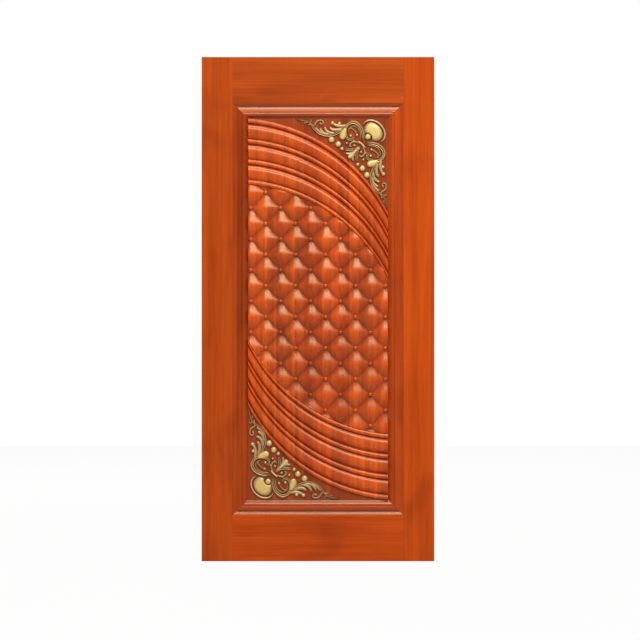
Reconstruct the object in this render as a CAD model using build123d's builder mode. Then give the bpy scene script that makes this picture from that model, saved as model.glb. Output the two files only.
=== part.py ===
from build123d import *
from math import asin, atan2, ceil, cos, hypot, pi, sin, sqrt
import os

# A carved entrance leaf: two stiles and two rails joined by wedged through
# tenons, a carved panel held in their grooves, mitred mouldings that cover
# the panel's margin on both faces, and two gilded corner ornaments.
# All lengths are millimetres. X is the width, Z is the height from the
# bottom edge, and the carved face looks along -Y. Y = 0 is mid-thickness.

# Overall sizes of the leaf
door_width = 914.4
door_height = 1981.2
door_thickness = 44.0
stile_width = 121.0
top_rail_height = 180.0
bottom_rail_height = 180.0
arris_radius = 1.5

# Joinery of the frame
groove_depth = 12.0
groove_width = 16.3
joint_fit = 0.1
tenon_thickness = 15.0
tenon_height = 50.0
tenon_inset = 22.0
wedge_head = 7.0
wedge_tip = 1.2
wedge_run = 72.0

# Carved panel, with its levels measured from the seat of the mouldings
tongue_thickness = 16.0
tongue_play = 3.0
ground_level = 2.0
crease_level = 3.0
pillow_level = 13.0
band_groove_level = 5.0
bead_level = 12.0
band_level = 12.0

# Mouldings: a hollow next to the frame, a round, a quirk, a bead and a fall
moulding_width = 61.0
moulding_top_drop = 0.6
moulding_fit = 0.3
seat_gap = 0.2
hollow_width = 16.0
hollow_level = 4.5
round_width = 19.0
quirk_width = 2.0
quirk_level = 9.5
moulding_bead_width = 8.0
moulding_lip_width = 2.0
moulding_lip_level = 4.5
back_moulding_width = 24.0
back_lip_level = 3.0
back_flat_width = 4.0

# Curved bands, each a copy of one arc moved down by the band pitch. The arc
# has its crest beyond the left edge of the sight and falls to the right edge
band_crest_beyond = 54.8
band_fall = 372.4
first_bead_drop = 6.7
band_pitch = 80.3
bead_width = 19.6
bead_count = 4
bead_flats = 6
band_flats = 6
band_spans = 14

# Tufting: buttons on a diagonal lattice centred on the panel
button_pitch_x = 117.6
button_pitch_z = 122.4
button_radius = 8.0
button_level = 11.0
button_sides = 8
pillow_flats = 6
trim_overlap = 0.4

# Gilded ornament, drawn from the upper right corner of the panel's sight:
# the first number runs from the corner along the top, the second down
ornament_gap = 0.1
ornament_drawn_room = 226.04
stem_level = 7.0
stem_root_width = 13.0
stem_tip_width = 4.0
stem_flats = 4
berry_sides = 6
fan_centre = (55.0, 46.0)
fan_radius = 34.0
fan_rim_radius = 37.0
fan_rim_width = 9.0
fan_level = 9.0
fan_sides = 14
berry_level = 9.0

# Levels along Y, measured towards the carved face
front_face = door_thickness / 2
seat_level = tongue_thickness / 2
moulding_top = front_face - seat_level - moulding_top_drop

# Opening inside the frame, and the part of the panel that stays in sight
opening_width = door_width - 2 * stile_width
opening_bottom = bottom_rail_height
opening_top = door_height - top_rail_height
opening_height = opening_top - opening_bottom
sight_width = opening_width - 2 * moulding_width
sight_height = opening_height - 2 * moulding_width
panel_centre_z = (opening_top + opening_bottom) / 2
sight_top = panel_centre_z + sight_height / 2
carving_width = sight_width - 2 * moulding_fit
carving_height = sight_height - 2 * moulding_fit
half_turn = Axis((0, 0, panel_centre_z), (0, 1, 0))

# The arc of the first bead, and the room between it and the sight's corner,
# which the ornament is scaled to fill
band_arc_run = sight_width + band_crest_beyond
band_arc_x = sight_width / 2 - band_arc_run
band_arc_radius = (band_arc_run**2 + band_fall**2) / (2 * band_fall)
first_bead_z = sight_top - first_bead_drop
corner_reach = hypot(band_arc_run, band_arc_radius + first_bead_drop)
corner_room = corner_reach - band_arc_radius - bead_width / 2
ornament_scale = corner_room / ornament_drawn_room

os.makedirs("parts", exist_ok=True)


def save(piece, name):
    """Label one finished piece and write it under its own name."""
    piece.part.label = name
    export_step(piece.part, f"parts/{name}.step")


def face_plane(level):
    """A plane parallel to the leaf, at a level towards the carved face."""
    return Plane.XZ.offset(level)


def round_points(start, end, low, high, flats):
    """Points on the arc that rises from low at both ends to high between."""
    half = (end - start) / 2
    rise = high - low
    radius = (half**2 + rise**2) / (2 * rise)
    reach = atan2(half, radius - rise)
    points = []
    for i in range(flats + 1):
        angle = reach * (2 * i / flats - 1)
        across = start + half + radius * sin(angle)
        points.append((across, high - radius * (1 - cos(angle))))
    return points


def tenon_centres():
    """Heights of the four tenon rows: two on each rail."""
    rows = []
    for low, high in ((0, opening_bottom), (opening_top, door_height)):
        rows.append(low + tenon_inset + tenon_height / 2)
        rows.append(high - tenon_inset - tenon_height / 2)
    return rows


# The frame: stiles run the full height, rails stand between them
def make_stile(side):
    outer = side * door_width / 2
    inner = side * opening_width / 2
    middle = (outer + inner) / 2
    with BuildPart() as stile:
        with BuildSketch(face_plane(-front_face)):
            with Locations((middle, door_height / 2)):
                Rectangle(stile_width, door_height)
        extrude(amount=door_thickness)
        long_edges = stile.edges().filter_by(Axis.Z).group_by(Axis.X)
        fillet(long_edges[0] if side < 0 else long_edges[-1], arris_radius)
        # groove for the panel and the haunches
        with BuildSketch(face_plane(-groove_width / 2)):
            with Locations((inner + side * groove_depth / 2, door_height / 2)):
                Rectangle(groove_depth, door_height)
        extrude(amount=groove_width, mode=Mode.SUBTRACT)
        # mortises, flared towards the outer edge for the wedges
        half = tenon_height / 2 + joint_fit
        flare_start = outer - side * wedge_run
        with BuildSketch(face_plane(-tenon_thickness / 2 - joint_fit)):
            for z in tenon_centres():
                Polygon(
                    (inner, z - half),
                    (flare_start, z - half),
                    (outer, z - half - wedge_head),
                    (outer, z + half + wedge_head),
                    (flare_start, z + half),
                    (inner, z + half),
                    align=None,
                )
        extrude(amount=tenon_thickness + 2 * joint_fit, mode=Mode.SUBTRACT)
    return stile


def make_rail(low, high, panel_edge):
    """A rail with haunches and twin tenons. panel_edge is its grooved edge."""
    inward = 1 if panel_edge == high else -1
    haunch = groove_depth - joint_fit
    with BuildPart() as rail:
        with BuildSketch(face_plane(-front_face)):
            with Locations((0, (low + high) / 2)):
                Rectangle(opening_width, high - low)
        extrude(amount=door_thickness)
        with BuildSketch(face_plane(-tongue_thickness / 2)):
            with Locations((0, (low + high) / 2)):
                Rectangle(opening_width + 2 * haunch, high - low)
        extrude(amount=tongue_thickness)
        with BuildSketch(face_plane(-groove_width / 2)):
            with Locations((0, panel_edge - inward * groove_depth / 2)):
                Rectangle(opening_width + 2 * groove_depth, groove_depth)
        extrude(amount=groove_width, mode=Mode.SUBTRACT)
        with BuildSketch(face_plane(-tenon_thickness / 2)):
            for z in tenon_centres():
                if low < z < high:
                    with Locations((0, z)):
                        Rectangle(door_width, tenon_height)
        extrude(amount=tenon_thickness)
    return rail


def make_wedge(side, z, up):
    """One wedge between the tenon's edge and the flare of its mortise."""
    slope = wedge_head / wedge_run
    tenon_edge = z + up * (tenon_height / 2 + joint_fit / 2)
    outer = side * door_width / 2
    tip = outer - side * (wedge_run - wedge_tip / slope)
    with BuildPart() as wedge:
        with BuildSketch(face_plane(-tenon_thickness / 2)):
            Polygon(
                (outer, tenon_edge),
                (outer, tenon_edge + up * wedge_head),
                (tip, tenon_edge + up * wedge_tip),
                (tip, tenon_edge),
                align=None,
            )
        extrude(amount=tenon_thickness)
    return wedge


# The quilted field: two sets of round-topped ribs run along the two
# diagonals of the button lattice. Where they cross, each leaves a pillow
# with four soft ridges, and its creases run from button to button.
half_pitch_x = button_pitch_x / 2
half_pitch_z = button_pitch_z / 2
lattice_diagonal = hypot(half_pitch_x, half_pitch_z)
rib_width = 2 * half_pitch_x * half_pitch_z / lattice_diagonal
rib_reach = hypot(sight_width, sight_height) / 2
rib_count = 2 * ceil(rib_reach / rib_width) + 1


def rib_plane(lean):
    """The plane square to one set of ribs. lean picks the diagonal."""
    along = Vector(lean * half_pitch_x, 0, half_pitch_z) / lattice_diagonal
    across = Vector(half_pitch_z, 0, -lean * half_pitch_x) / lattice_diagonal
    centre = Vector(0, -seat_level, panel_centre_z)
    return Plane(origin=centre - along * rib_reach, x_dir=across, z_dir=along)


def make_quilting():
    with BuildPart() as quilting:
        for lean in (1, -1):
            plane = rib_plane(lean)
            front = 1 if plane.y_dir.Y < 0 else -1
            edge = rib_count * rib_width / 2
            # one set lies half a rib over, so that the creases cross under the buttons
            shift = 0 if lean > 0 else rib_width / 2
            with BuildSketch(plane):
                outline = [(shift - edge, -seat_level)]
                for i in range(rib_count):
                    start = shift - edge + i * rib_width
                    rib = round_points(
                        start, start + rib_width, crease_level, pillow_level, pillow_flats
                    )
                    outline.extend(rib if i == 0 else rib[1:])
                outline.append((shift + edge, -seat_level))
                with BuildLine():
                    Polyline([(a, front * b) for a, b in outline], close=True)
                make_face()
            mode = Mode.ADD if lean > 0 else Mode.INTERSECT
            extrude(amount=2 * rib_reach, mode=mode)
        # keep only the field between the two sets of bands
        with BuildSketch(face_plane(-seat_level)):
            drop = band_pitch * (bead_count - 1) + bead_width / 2 - trim_overlap
            with BuildLine():
                Polyline(band_edge(drop) + band_edge(drop, turned=True), close=True)
            make_face()
        extrude(amount=2 * seat_level + pillow_level + 1, mode=Mode.INTERSECT)
    return quilting


def arc_height(x, drop):
    """Height of the band arc at x, with its bead moved down by drop."""
    rise = sqrt(band_arc_radius**2 - (x - band_arc_x) ** 2)
    return first_bead_z - band_arc_radius + rise - drop


def band_stations(reach):
    """Points on the band arc, evenly spread in angle across the sight."""
    first = asin((-reach - band_arc_x) / band_arc_radius)
    last = asin((reach - band_arc_x) / band_arc_radius)
    stations = []
    for i in range(band_spans + 1):
        angle = first + (last - first) * i / band_spans
        x = band_arc_x + band_arc_radius * sin(angle)
        stations.append((x, arc_height(x, 0)))
    return stations


def band_edge(drop, turned=False):
    """The line of the bands at a drop, or its copy turned half a turn."""
    points = [(x, z - drop) for x, z in band_stations(carving_width / 2)]
    if turned:
        points = [(-x, 2 * panel_centre_z - z) for x, z in points]
    return points


# The bands: one profile of beads and wide rounds, carried along the arc
# without turning, so that the bands close up where the arc runs steeply.
def band_profile():
    """Beads and rounds, as distance down from the first bead and level."""
    points = [(-bead_width / 6, -seat_level / 2)]
    for i in range(bead_count):
        near = i * band_pitch - bead_width / 2
        far = near + bead_width
        points += round_points(near, far, band_groove_level, bead_level, bead_flats)
        if i < bead_count - 1:
            following = near + band_pitch
            wide = round_points(
                far, following, band_groove_level, band_level, band_flats
            )
            points += wide[1:-1]
    points.append((far - bead_width / 3, -seat_level / 2))
    return points


def make_band_set():
    stations = band_stations(carving_width / 2 + bead_width)
    with BuildPart() as bands:
        for start, end in zip(stations, stations[1:]):
            origin = Vector(start[0], -seat_level, start[1])
            step = Vector(end[0] - start[0], 0, end[1] - start[1])
            section = Plane(origin=origin, x_dir=(0, 0, -1), z_dir=(1, 0, 0))
            front = 1 if section.y_dir.Y < 0 else -1
            with BuildSketch(section):
                with BuildLine():
                    Polyline([(a, front * b) for a, b in band_profile()], close=True)
                make_face()
            extrude(amount=step.length, dir=step)
        with BuildSketch(face_plane(-seat_level)):
            with Locations((0, panel_centre_z)):
                Rectangle(carving_width, carving_height)
        extrude(amount=2 * seat_level + bead_level + 1, mode=Mode.INTERSECT)
    return bands


def field_buttons():
    """Lattice points of the buttons that lie within the quilted field."""
    drop = band_pitch * (bead_count - 1) + bead_width / 2
    places = []
    columns = ceil(sight_width / button_pitch_x) + 1
    rows = ceil(sight_height / button_pitch_z) + 1
    for i in range(-2 * columns, 2 * columns + 1):
        for j in range(-2 * rows, 2 * rows + 1):
            if (i + j) % 2 == 0:
                continue
            x = (i + 0.5) * half_pitch_x
            rise = (j + 0.5) * half_pitch_z
            if abs(x) + button_radius > carving_width / 2:
                continue
            above = arc_height(x, drop) - panel_centre_z - rise
            below = arc_height(-x, drop) - panel_centre_z + rise
            if min(above, below) > 1.5 * button_radius:
                places.append((x, panel_centre_z + rise))
    return places


def faceted_knob(radius, level, sides):
    """Corners of a button or berry: straight flats under a bevelled crown."""
    corners = []
    for height, reach in ((0, radius), (0.6 * level, radius), (level, 0.5 * radius)):
        for i in range(sides):
            angle = 2 * pi * (i + 0.5) / sides
            corners.append((reach * cos(angle), reach * sin(angle), height))
    return corners


def make_buttons():
    """Turned buttons on the quilting, cut to a few flats."""
    front = face_plane(seat_level)
    places = [front.location * Location((x, z, 0)) for x, z in field_buttons()]
    with BuildPart() as buttons:
        with Locations(*places):
            ConvexPolyhedron(faceted_knob(button_radius, button_level, button_sides))
    return buttons


def make_panel(bands, quilting, buttons):
    width = opening_width + 2 * (groove_depth - tongue_play)
    low = opening_bottom - groove_depth
    high = opening_top + groove_depth - tongue_play
    turned_bands = bands.part.rotate(half_turn, 180)
    with BuildPart() as panel:
        with BuildSketch(face_plane(-seat_level)):
            with Locations((0, (low + high) / 2)):
                Rectangle(width, high - low)
        extrude(amount=2 * seat_level)
        with BuildSketch(face_plane(seat_level)):
            with Locations((0, panel_centre_z)):
                Rectangle(carving_width, carving_height)
        extrude(amount=ground_level)
        add([quilting.part, bands.part, turned_bands, buttons.part])
    return panel


# Mouldings: each length is one profile, cut to a mitre at both ends
def front_profile(section):
    """The front profile, from the frame's edge towards the panel."""
    top = moulding_top
    round_end = hollow_width + round_width
    bead_start = round_end + quirk_width
    bead_end = bead_start + moulding_bead_width
    lip_start = moulding_width - moulding_lip_width
    with BuildSketch(section) as profile:
        with BuildLine():
            Polyline(
                (hollow_width, hollow_level),
                (joint_fit, top),
                (joint_fit, seat_gap),
                (moulding_width, seat_gap),
                (moulding_width, moulding_lip_level),
                (lip_start, moulding_lip_level),
            )
            ThreePointArc(
                (hollow_width, hollow_level),
                (hollow_width + 0.6 * round_width, top),
                (round_end, quirk_level),
            )
            Line((round_end, quirk_level), (bead_start, quirk_level))
            ThreePointArc(
                (bead_start, quirk_level),
                (bead_start + moulding_bead_width / 2, quirk_level + 2),
                (bead_end, quirk_level - 1.5),
            )
            Line((bead_end, quirk_level - 1.5), (lip_start, moulding_lip_level))
        make_face()
    return profile.sketch


def back_profile(section):
    """A plain round for the back, where the panel is flat."""
    top = moulding_top
    width = back_moulding_width
    with BuildSketch(section) as profile:
        with BuildLine():
            Polyline(
                (back_flat_width, top),
                (joint_fit, top),
                (joint_fit, seat_gap),
                (width, seat_gap),
                (width, back_lip_level),
            )
            ThreePointArc(
                (back_flat_width, top),
                (back_flat_width + 0.75 * (width - back_flat_width), 0.72 * top),
                (width, back_lip_level),
            )
        make_face()
    return profile.sketch


def make_moulding(facing, edge):
    """One length of moulding. facing is -1 for the carved face."""
    half_width = opening_width / 2
    half_height = opening_height / 2
    inward = {
        "top": Vector(0, 0, -1),
        "bottom": Vector(0, 0, 1),
        "left": Vector(1, 0, 0),
        "right": Vector(-1, 0, 0),
    }[edge]
    reach = half_height if edge in ("top", "bottom") else half_width
    run = half_width if edge in ("top", "bottom") else half_height
    outward = Vector(0, facing, 0)
    middle = Vector(0, facing * seat_level, panel_centre_z) - inward * reach
    section = Plane(origin=middle, x_dir=inward, z_dir=inward.cross(outward))
    along = section.z_dir
    mitre = moulding_width + 1
    profile = front_profile(section) if facing < 0 else back_profile(section)
    with BuildPart() as moulding:
        extrude(profile, amount=run, both=True)
        ends = [
            middle - along * run,
            middle + along * run,
            middle + along * (run - mitre) + inward * mitre,
            middle - along * (run - mitre) + inward * mitre,
        ]
        with BuildSketch(face_plane(-door_thickness)):
            Polygon(*[(p.X, p.Z) for p in ends], align=None)
        extrude(amount=2 * door_thickness, mode=Mode.INTERSECT)
    return moulding


# The corner ornament, drawn once for one arm and mirrored in the diagonal
corner = Plane(
    origin=(sight_width / 2, -seat_level - ground_level - ornament_gap, sight_top),
    x_dir=(-1, 0, 0),
    z_dir=(0, -1, 0),
)
corner_diagonal = Plane(
    origin=corner.origin,
    x_dir=(0, 1, 0),
    z_dir=(-1, 0, 1),
)


def carved_stem(points, start_width, end_width, level=None):
    """A raised stem along one arc, tapering from its start to its end."""
    level = level or stem_level
    with BuildLine() as path:
        ThreePointArc(*[(u * ornament_scale, v * ornament_scale) for u, v in points])
    line = path.line
    sides = {1: [], -1: []}
    for i in range(stem_flats + 1):
        place = i / stem_flats
        width = ornament_scale * (start_width + (end_width - start_width) * place)
        along = line % place
        for side in sides:
            offset = Vector(-along.Y, along.X) * side * width / 2
            sides[side].append(line @ place + offset)
    with BuildSketch(corner) as stem:
        with BuildLine():
            Polyline(sides[1] + sides[-1][::-1], close=True)
        make_face()
    extrude(stem.sketch, amount=level)


def knob(place, radius, level, sides=berry_sides):
    """A berry on the sunk ground, cut to a few flats."""
    centre = (place[0] * ornament_scale, place[1] * ornament_scale, 0)
    with Locations(corner.location * Location(centre)):
        ConvexPolyhedron(faceted_knob(radius * ornament_scale, level, sides))


def make_ornament():
    with BuildPart() as ornament:
        # long stem, from the scroll beside the fan out to the tip
        carved_stem(((164, 28), (200, 56), (236, 65)), 12, 12)
        carved_stem(((236, 65), (280, 42), (306, 18)), 12, 8)
        carved_stem(((306, 18), (324, 8), (342, 6)), 8, stem_tip_width)
        # scroll beside the fan, with its eye
        carved_stem(((104, 104), (104, 45), (150, 25)), 10, stem_root_width)
        carved_stem(((150, 25), (170, 55), (147, 80)), stem_root_width, 8)
        knob((146, 66), 11, berry_level)
        # volute at the far end of the leaf
        carved_stem(((284, 38), (276, 10), (258, 16)), 8, 6)
        knob((262, 22), 7, stem_level)
        # bud and berries under the stem
        carved_stem(((212, 62), (190, 96), (152, 146)), 8, 8)
        knob((219, 80), 13, berry_level)
        knob((198, 101), 13, berry_level)
        knob((183, 118), 8.5, berry_level)
        carved_stem(((172, 40), (180, 60), (183, 82)), 10, 22)
        # leaf lobes above the stem
        carved_stem(((205, 58), (220, 46), (222, 20)), 14, 10)
        carved_stem(((198, 54), (200, 40), (194, 22)), 12, 10)
        # half of the palmette on the diagonal
        carved_stem(((104, 104), (140, 118), (168, 140)), 8, 12)
        mirror(about=corner_diagonal)
        # the fan in the corner, its rim, the middle bud and the knot
        knob(fan_centre, fan_radius, fan_level, fan_sides)
        rim = [
            (
                fan_centre[0] - fan_rim_radius * cos(angle),
                fan_centre[1] - fan_rim_radius * sin(angle),
            )
            for angle in (-pi / 4, pi / 4, 3 * pi / 4)
        ]
        carved_stem(rim, fan_rim_width, fan_rim_width)
        knob((78, 76), 15, berry_level)
        carved_stem(((84, 84), (117, 119), (152, 152)), 12, 26)
    return ornament


def turned(piece):
    """The same piece at the other end, half a turn round the middle."""
    with BuildPart() as copy:
        add(piece.part.rotate(half_turn, 180))
    return copy


# Write every piece
for side, name in ((-1, "left_stile"), (1, "right_stile")):
    save(make_stile(side), name)
save(make_rail(0, opening_bottom, opening_bottom), "bottom_rail")
save(make_rail(opening_top, door_height, opening_top), "top_rail")

for side, side_name in ((-1, "left"), (1, "right")):
    for row, z in enumerate(tenon_centres(), start=1):
        for up, place in ((1, "upper"), (-1, "lower")):
            save(make_wedge(side, z, up), f"{side_name}_tenon_{row}_{place}_wedge")

for facing, face_name in ((-1, "front"), (1, "back")):
    for edge in ("top", "bottom", "left", "right"):
        save(make_moulding(facing, edge), f"{face_name}_{edge}_moulding")

ornament = make_ornament()
save(ornament, "upper_corner_ornament")
save(turned(ornament), "lower_corner_ornament")

save(make_panel(make_band_set(), make_quilting(), make_buttons()), "carved_panel")
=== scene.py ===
# %% [markdown]
# This lesson dresses a carved entrance leaf. The frame below is the built door: its stiles,
# rails, panel, mouldings and ornaments at their real size. Every piece made here goes where
# that frame says, so the first step is to load it and to read its box.

# %% Load the door as it was built
import math
import bpy
import numpy as np
from mathutils import Matrix, Vector


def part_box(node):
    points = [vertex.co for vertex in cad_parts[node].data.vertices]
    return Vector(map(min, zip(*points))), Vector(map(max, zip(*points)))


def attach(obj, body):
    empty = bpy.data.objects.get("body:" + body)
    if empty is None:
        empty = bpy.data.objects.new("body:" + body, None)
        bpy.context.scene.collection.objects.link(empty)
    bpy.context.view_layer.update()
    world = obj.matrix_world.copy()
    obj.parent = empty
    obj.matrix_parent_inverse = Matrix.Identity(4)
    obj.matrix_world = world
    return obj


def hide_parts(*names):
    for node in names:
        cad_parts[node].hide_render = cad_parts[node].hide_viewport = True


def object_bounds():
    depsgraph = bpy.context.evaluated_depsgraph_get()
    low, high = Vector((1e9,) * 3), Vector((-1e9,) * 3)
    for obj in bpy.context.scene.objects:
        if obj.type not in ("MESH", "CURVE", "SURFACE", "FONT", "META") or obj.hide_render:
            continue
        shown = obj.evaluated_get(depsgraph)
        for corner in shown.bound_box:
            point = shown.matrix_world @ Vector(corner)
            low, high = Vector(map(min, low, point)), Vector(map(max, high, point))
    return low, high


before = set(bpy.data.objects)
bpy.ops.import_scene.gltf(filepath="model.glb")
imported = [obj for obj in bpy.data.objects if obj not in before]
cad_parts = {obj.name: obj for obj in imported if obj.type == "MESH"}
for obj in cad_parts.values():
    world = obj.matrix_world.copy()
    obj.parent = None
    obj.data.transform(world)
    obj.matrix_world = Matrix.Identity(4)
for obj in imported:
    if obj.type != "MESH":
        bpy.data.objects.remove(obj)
cad_low, cad_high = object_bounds()
print("nodes", len(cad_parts), "box", tuple(cad_low), tuple(cad_high))

# %% [markdown]
# The sizes of whole pieces are read from the frame, in metres, so nothing has to be fitted by
# eye. The mouldings give the opening of the leaf's frame, and the opening gives the sight: the
# part of the panel that shows inside them. Only the sizes of the carving itself are given as
# numbers, each in the cell that first needs it, because a box can't tell them.

# %% Sizes read from the frame
MM = 0.001
panel_low, panel_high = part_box("carved_panel")
stile_low, stile_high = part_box("left_stile")
top_moulding_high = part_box("front_top_moulding")[1]
side_moulding_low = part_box("front_left_moulding")[0]
front_face = -cad_low.y
seat = panel_high.y
moulding_gap = 0.1 * MM
moulding_width = 61 * MM
opening_half = top_moulding_high.x + moulding_gap
opening_top = top_moulding_high.z + moulding_gap
opening_bottom = side_moulding_low.z - moulding_gap
middle_z = (opening_top + opening_bottom) / 2
opening_half_height = opening_top - middle_z
sight_half = opening_half - moulding_width
sight_top = opening_top - moulding_width
print("stile", round(stile_high.x - stile_low.x, 4), "sight", round(2 * sight_half, 4))
print("middle", round(middle_z, 4), "seat", round(seat, 4))

# %% [markdown]
# The photograph looks straight at the leaf from far away. A long lens eleven metres off gives
# the same flat view. The point it looks at lies a little below the middle of the leaf.

# %% Camera
view_width = 2.5146
view_distance = 11.0
sensor_width = 36.0
aim = Vector((0.0079, -front_face, 0.9479))
camera_data = bpy.data.cameras.new("camera")
camera = bpy.data.objects.new("camera", camera_data)
bpy.context.scene.collection.objects.link(camera)
camera_data.sensor_width = sensor_width
camera_data.lens = sensor_width * view_distance / view_width
camera_data.clip_end = 100
camera.location = aim - Vector((0, view_distance, 0))
camera.rotation_euler = (math.radians(90), 0, 0)
bpy.context.scene.camera = camera
print("lens", round(camera_data.lens, 1), "mm")

# %% [markdown]
# The room, the floor and every finish below are graphs of nodes. Built one call at a time they
# would fill the lesson, so one short helper adds a node, sets it and joins it, one works out a
# sum, and one tells the rays that see a surface directly from the rays that only light it.


# %% Helpers for node graphs
def link_nodes(tree, kind, settings=None, inputs=None):
    """Add a node, set its plain values, and join its inputs to other sockets."""
    node = tree.nodes.new(kind)
    for key, value in (settings or {}).items():
        setattr(node, key, value)
    for key, value in (inputs or {}).items():
        if isinstance(value, bpy.types.NodeSocket):
            tree.links.new(value, node.inputs[key])
        else:
            node.inputs[key].default_value = value
    return node


def calculate(tree, operation, *values):
    """The result of one sum on numbers or sockets."""
    node = link_nodes(tree, "ShaderNodeMath", {"operation": operation}, dict(enumerate(values)))
    return node.outputs[0]


def seen_directly(tree):
    """1 for rays from the camera, off a mirror or through glass, and 0 for diffuse light."""
    path = link_nodes(tree, "ShaderNodeLightPath")
    seen = path.outputs["Is Camera Ray"]
    for ray in ("Is Glossy Ray", "Is Transmission Ray"):
        seen = calculate(tree, "MAXIMUM", seen, path.outputs[ray])
    return seen


# %% [markdown]
# The light comes from above and a little from the right, as in a plain studio. A large soft
# lamp overhead shades the carving from the top down, and a long narrow one, high in front,
# leaves the pale streaks on every slope that faces up. A third lamp behind the leaf shows its
# back when somebody walks round it. The room is white where it is seen or mirrored, and gives
# only a little light of its own, so that the hollows stay dark.

# %% World
room_strength = 0.12
room_colour = (1, 0.985, 0.97, 1)
white = (1, 1, 1, 1)
scene = bpy.context.scene
scene.view_settings.view_transform = "Standard"
scene.world = bpy.data.worlds.new("white_room")
scene.world.use_nodes = True
room = scene.world.node_tree
room.nodes.clear()
room_light = link_nodes(room, "ShaderNodeBackground",
                        inputs={"Color": room_colour, "Strength": room_strength})
room_white = link_nodes(room, "ShaderNodeBackground", inputs={"Color": white, "Strength": 1.0})
room_mix = link_nodes(room, "ShaderNodeMixShader",
                      inputs={"Fac": seen_directly(room), 1: room_light.outputs["Background"],
                              2: room_white.outputs["Background"]})
link_nodes(room, "ShaderNodeOutputWorld", inputs={"Surface": room_mix.outputs["Shader"]})
print("room", scene.world.name)

# %% Lamps
lamp_target = Vector((0, 0, 1.0))
lamp_colour = (1, 0.96, 0.89)


def add_lamp(name, place, width, height, watts):
    """A rectangular soft lamp that faces the middle of the leaf."""
    data = bpy.data.lights.new(name, "AREA")
    data.shape = "RECTANGLE"
    data.size, data.size_y = width, height
    data.energy = watts
    data.color = lamp_colour
    lamp = bpy.data.objects.new(name, data)
    scene.collection.objects.link(lamp)
    lamp.location = place
    lamp.rotation_euler = (lamp_target - Vector(place)).to_track_quat("-Z", "Y").to_euler()


add_lamp("overhead_lamp", (0.6, -3.6, 6.8), width=3.2, height=1.4, watts=250)
add_lamp("high_front_lamp", (1.3, -6.5, 5.0), width=4.8, height=0.95, watts=390)
add_lamp("back_lamp", (-1.6, 6.0, 4.4), width=3.4, height=2.4, watts=330)

# %% [markdown]
# The floor is plain and pale. Where the camera sees it, most of what it sees is plain white,
# and the small rest still takes the shadow of the leaf.

# %% Floor
floor_size = 14
floor_centre = (0, 3.0, -0.5 * MM)
floor_whiteness = 0.96
bpy.ops.object.select_all(action="DESELECT")
bpy.ops.mesh.primitive_plane_add(size=floor_size, location=floor_centre)
floor = bpy.context.object
floor.name = "floor"
floor_material = bpy.data.materials.new("pale_floor")
floor_material.use_nodes = True
floor_tree = floor_material.node_tree
floor_shader = floor_tree.nodes["Principled BSDF"]
floor_shader.inputs["Base Color"].default_value = (0.55, 0.55, 0.55, 1)
floor_shader.inputs["Roughness"].default_value = 0.9
floor_shader.inputs["Specular IOR Level"].default_value = 0.1
floor_white = link_nodes(floor_tree, "ShaderNodeEmission",
                         inputs={"Color": white, "Strength": 1.0})
floor_share = calculate(floor_tree, "MULTIPLY", seen_directly(floor_tree), floor_whiteness)
floor_mix = link_nodes(floor_tree, "ShaderNodeMixShader",
                       inputs={"Fac": floor_share, 1: floor_shader.outputs["BSDF"],
                               2: floor_white.outputs["Emission"]})
floor_out = floor_tree.nodes["Material Output"]
floor_tree.links.new(floor_mix.outputs["Shader"], floor_out.inputs["Surface"])
floor.data.materials.append(floor_material)
print("floor", floor.name, floor_size, "m wide")

# %% [markdown]
# All the wood is one reddish stained timber under a glossy varnish. Its marks are of four
# sizes: broad figure, streaks, fine fibres with their pores, and soft blotches where the
# timber took more stain. Each is a noise drawn out along the grain, because real marks run
# with it. A ramp turns each noise into tones, and the tones darken or lighten the stain.


# %% Marks of the grain
def grain_marks(tree, place, fineness, detail, roughness, distortion):
    """Noise drawn out along the grain. fineness is across it, through it and along it."""
    drawn = link_nodes(tree, "ShaderNodeMapping", inputs={"Vector": place, "Scale": fineness})
    noise = link_nodes(tree, "ShaderNodeTexNoise",
                       inputs={"Vector": drawn.outputs[0], "Scale": 1.0, "Detail": detail,
                               "Roughness": roughness, "Distortion": distortion})
    return noise.outputs["Fac"]


def colour_ramp(tree, source, stops):
    """A ramp from a list of (place, colour) stops."""
    ramp = link_nodes(tree, "ShaderNodeValToRGB", inputs={"Fac": source})
    elements = ramp.color_ramp.elements
    while len(elements) < len(stops):
        elements.new(0.5)
    for element, (place, colour) in zip(elements, stops):
        element.position = place
        element.color = (*colour, 1)
    return ramp.outputs["Color"]


def toned(tree, base, source, tones, strength):
    """A colour multiplied by a ramp of tones, as far as strength says."""
    node = link_nodes(tree, "ShaderNodeMix", {"data_type": "RGBA", "blend_type": "MULTIPLY"},
                      {0: strength, 6: base, 7: colour_ramp(tree, source, tones)})
    return node.outputs[2]


plain = (1, 1, 1)
figure = ((19, 19, 0.9), 3.0, 0.55, 0.5)
streaks = ((95, 95, 2.2), 2.0, 0.5, 0.3)
streak_tones = ((0.36, (0.72, 0.66, 0.62)), (0.55, plain), (0.75, (1.1, 1.06, 1.0)))
fibres = ((520, 520, 7), 4.0, 0.6, 0.0)
fibre_tones = ((0.34, (0.62, 0.55, 0.5)), (0.47, plain))
blotches = ((6.5, 6.5, 2.6), 2.0, 0.5, 0.8)
blotch_tones = ((0.32, (0.76, 0.74, 0.9)), (0.48, plain), (0.7, (1.05, 1.1, 1.0)))
print("finest marks", round(1000 / fibres[0][0], 1), "mm wide")
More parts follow.
